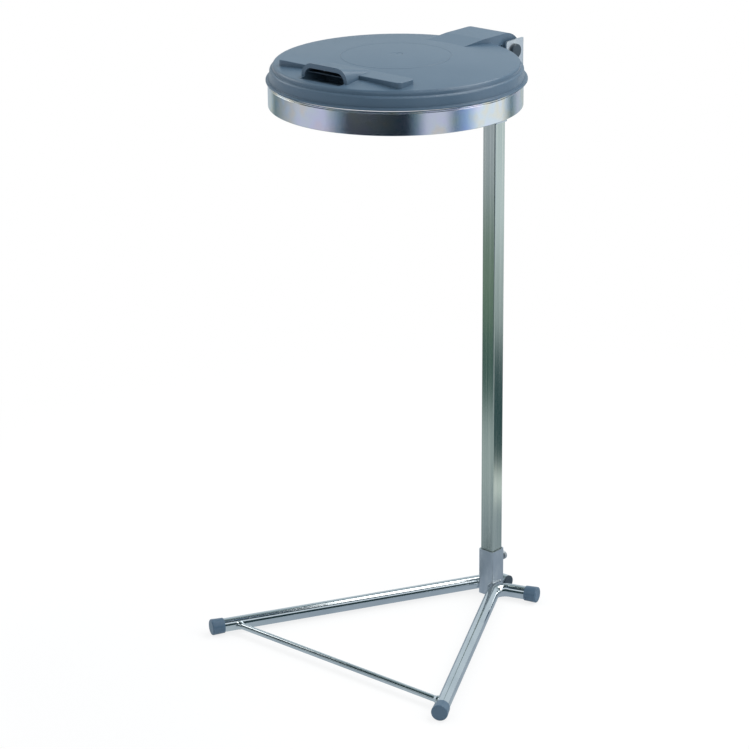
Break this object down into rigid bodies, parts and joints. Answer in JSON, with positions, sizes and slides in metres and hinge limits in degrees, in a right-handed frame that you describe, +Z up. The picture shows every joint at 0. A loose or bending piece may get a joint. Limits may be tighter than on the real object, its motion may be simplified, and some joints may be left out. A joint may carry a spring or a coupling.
{
  "type": "sack holder stand",
  "caption": "Tube stand on three feet with a square post, a round band for a sack's mouth and a hinged domed lid.",
  "frame": {"origin": "the post's axis on the floor, at the underside of the base socket", "axes": "+Z up, -Y forward to the ring and the two front feet, +X to the right"},
  "size_m": [0.4939, 0.4661, 0.9665],
  "materials": {
    "tube_zinc": "bright zinc",
    "socket_zinc": "satin zinc",
    "post_zinc": "satin zinc",
    "ring_zinc": "bright zinc",
    "bracket_zinc": "satin zinc",
    "lid_plastic": "satin",
    "cap_plastic": "satin",
    "plug_plastic": "matte",
    "pin_cap_plastic": "satin",
    "screw_steel": "satin zinc"
  },
  "bodies": {
    "stand": {"left_leg": "tube_zinc", "right_leg": "tube_zinc", "cross_rod": "tube_zinc", "base_socket": "socket_zinc", "top_sleeve": "socket_zinc", "post": "post_zinc", "support_ring": "ring_zinc", "clamp_ring": "ring_zinc", "ring_bracket": "bracket_zinc", "foot_cap_front_left": "cap_plastic", "foot_cap_front_right": "cap_plastic", "foot_cap_rear": "cap_plastic", "leg_end_plug": "plug_plastic", "pin_cap_left": "pin_cap_plastic", "pin_cap_right": "pin_cap_plastic", "hinge_pin": "screw_steel", "weld_nut_lower": "screw_steel", "weld_nut_upper": "screw_steel", "clamp_screw_lower": "screw_steel", "clamp_screw_upper": "screw_steel"},
    "lid": {"lid": "lid_plastic"}
  },
  "joints": [
    {"name": "lid_hinge", "type": "hinge", "parent": "stand", "child": "lid", "pos_m": [0, -0.0065, 0.9239], "axis": [-1, 0, 0], "range_deg": [0, 95]}
  ]
}
